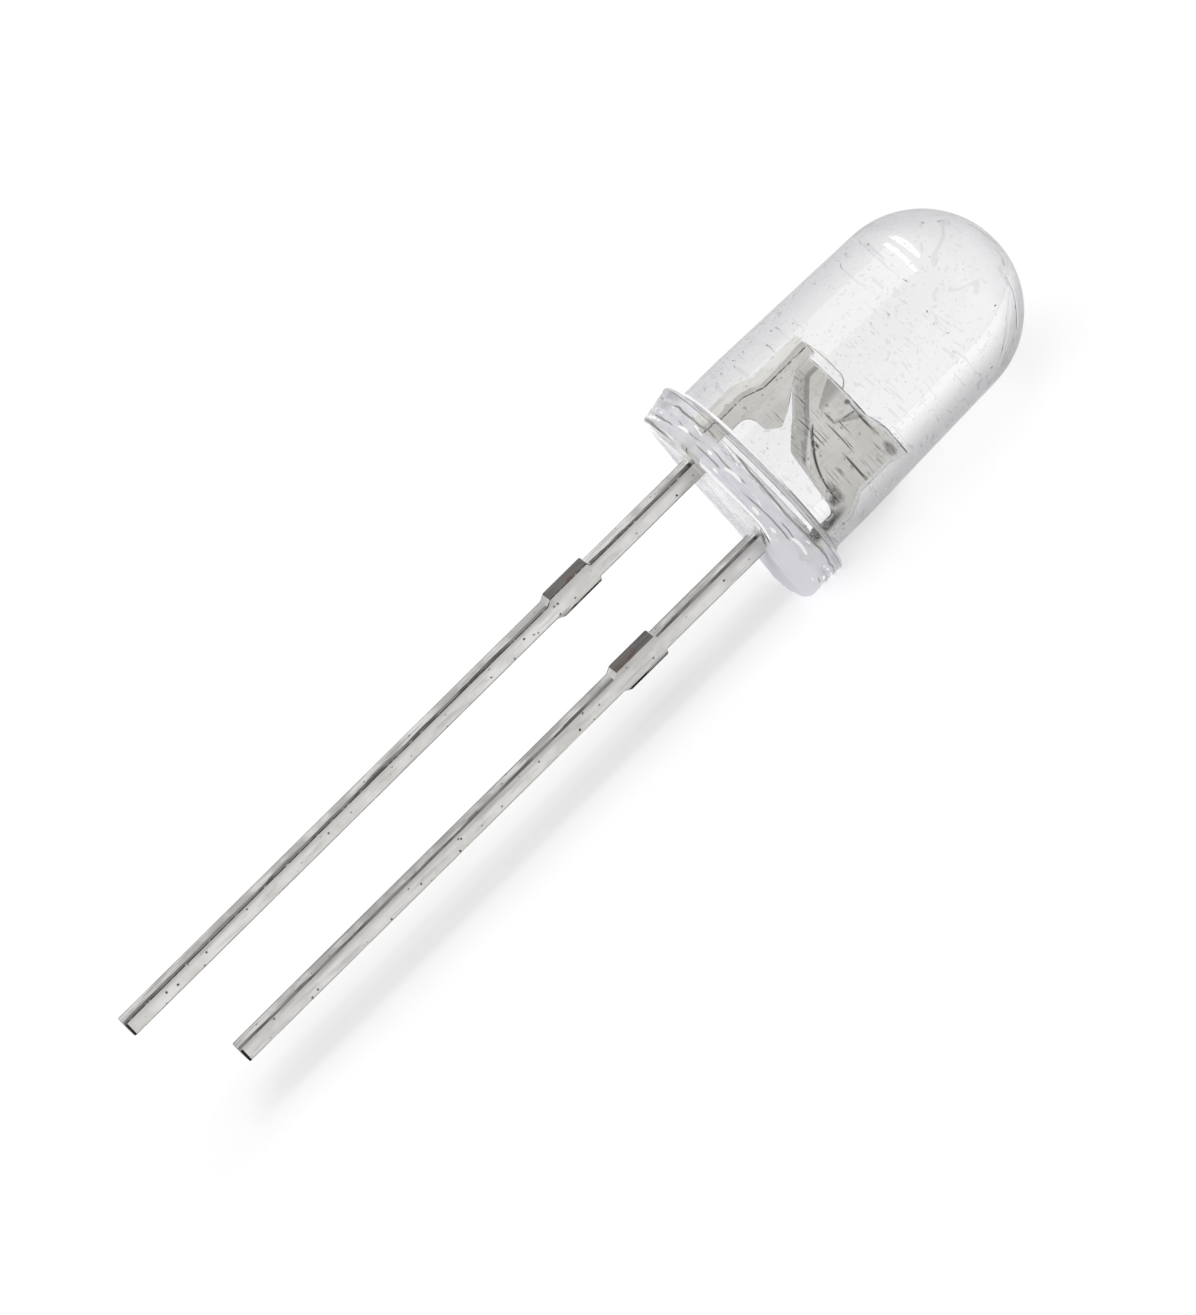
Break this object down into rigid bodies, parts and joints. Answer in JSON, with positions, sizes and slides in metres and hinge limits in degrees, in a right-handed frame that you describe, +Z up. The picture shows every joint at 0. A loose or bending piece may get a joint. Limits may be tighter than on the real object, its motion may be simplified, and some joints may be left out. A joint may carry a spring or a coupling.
{
  "type": "through hole led",
  "caption": "Round light-emitting diode with a clear domed lens, a flanged base and straight wire leads for soldering into a board.",
  "frame": {"origin": "middle of the seating face, on the optical axis and halfway between the leads", "axes": "+X along the optical axis to the tip of the dome, +Z up with the part lying on the flat of its flange, cathode lead at -Z and anode lead at +Z"},
  "size_m": [0.027, 0.0058, 0.0054],
  "materials": {
    "clear_epoxy": "clear cast epoxy",
    "tinned_steel": "matt tin plating on stamped steel strip",
    "silver_epoxy": "silver filled epoxy",
    "chip_crystal": "sawn semiconductor crystal",
    "gold": "bright gold"
  },
  "bodies": {
    "root": {"lens": "clear_epoxy", "anode_lead": "tinned_steel", "cathode_lead": "tinned_steel", "die_attach": "silver_epoxy", "led_chip": "chip_crystal", "chip_pad": "gold", "bond_wire": "gold"}
  },
  "joints": []
}
